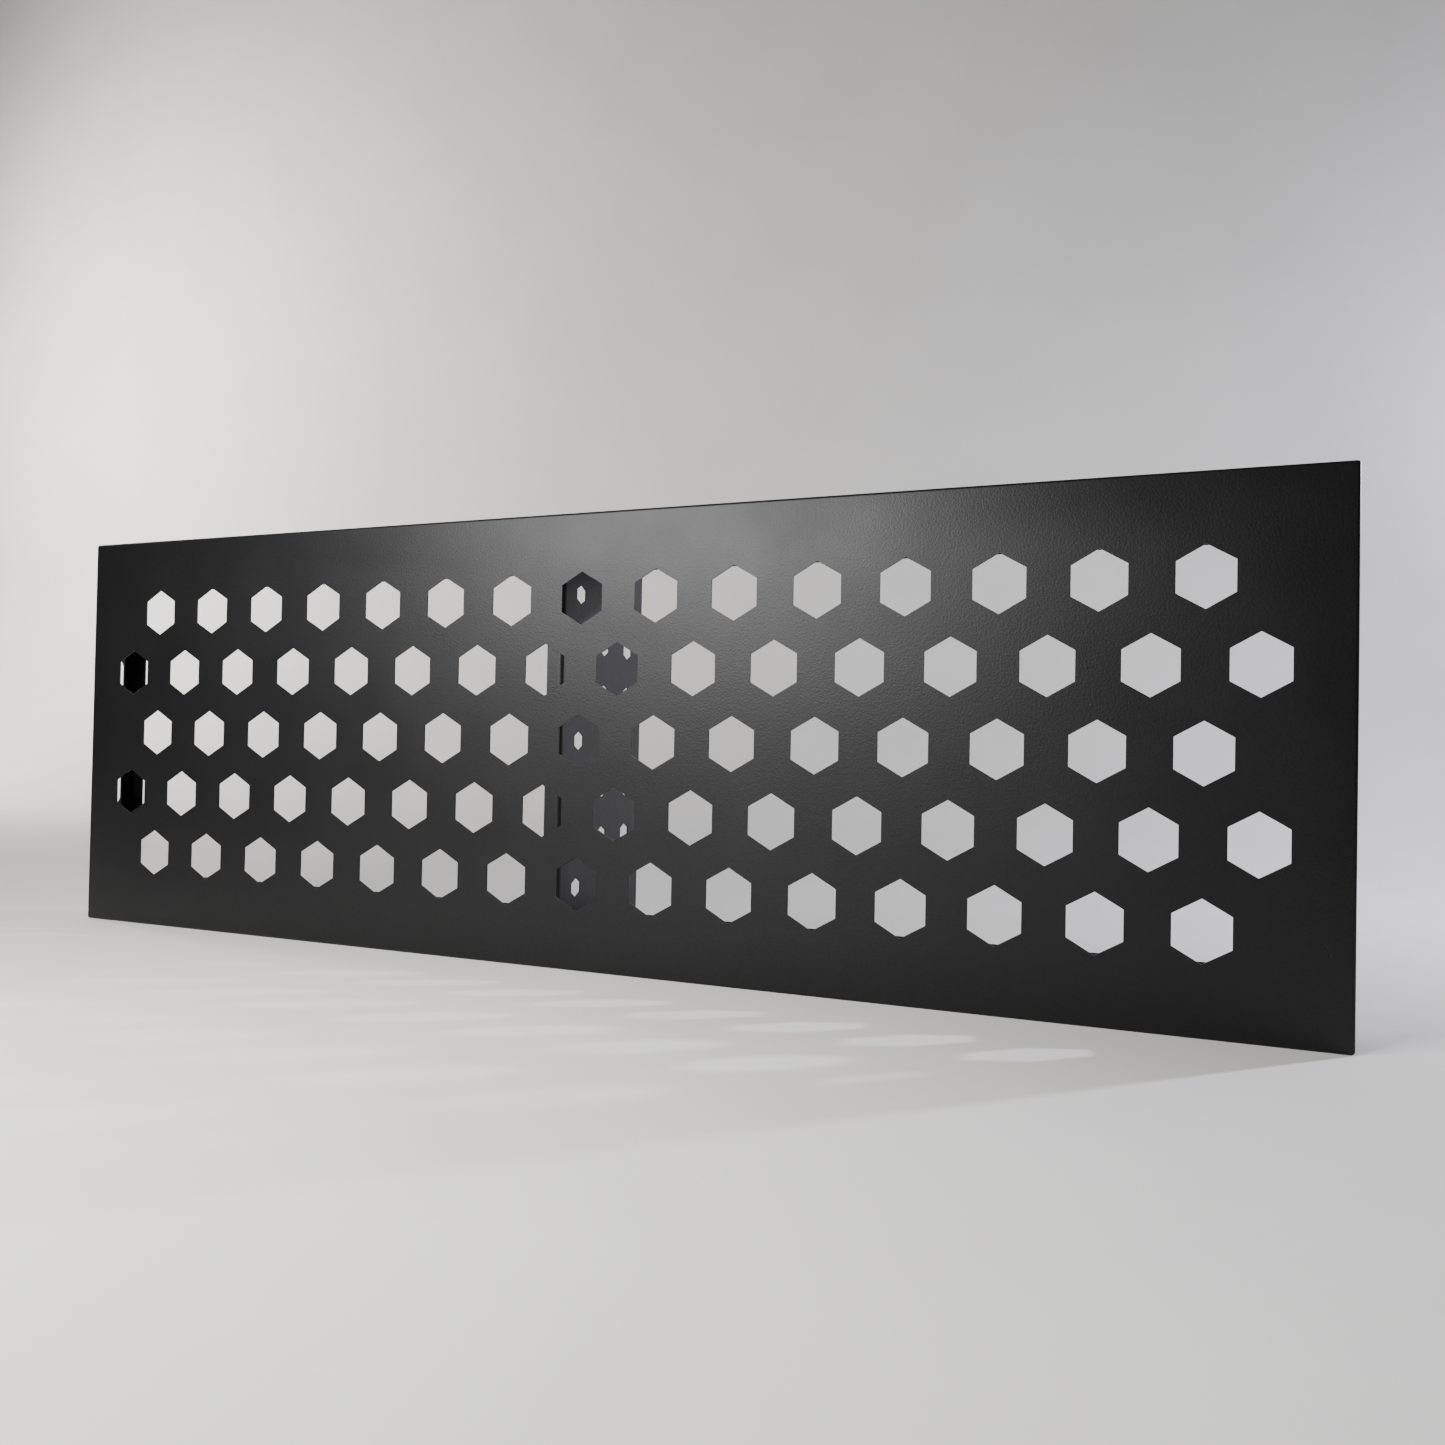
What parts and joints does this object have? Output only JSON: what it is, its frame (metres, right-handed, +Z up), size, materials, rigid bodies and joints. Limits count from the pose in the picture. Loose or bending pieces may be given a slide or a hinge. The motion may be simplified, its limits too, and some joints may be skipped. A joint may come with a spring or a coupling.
{
  "type": "honeycomb grid",
  "caption": "Black folded-steel tray with a hexagon-perforated face, deep long walls, shallow end walls with hand slots, a perforated centre rib and rubber feet.",
  "frame": {"origin": "centre of the underside, on the surface that the part stands on", "axes": "+X along the deck, +Y from the perforated deck towards the open back, +Z up along the deck's short side"},
  "size_m": [1.2, 0.158, 0.4],
  "materials": {
    "powder_coat": "satin black powder coat with a fine grain",
    "rubber": "matt black moulded rubber"
  },
  "bodies": {
    "root": {"deck": "powder_coat", "centre_rib": "powder_coat", "foot_lower_left": "rubber", "foot_lower_middle": "rubber", "foot_lower_right": "rubber", "foot_upper_left": "rubber", "foot_upper_middle": "rubber", "foot_upper_right": "rubber"}
  },
  "joints": []
}
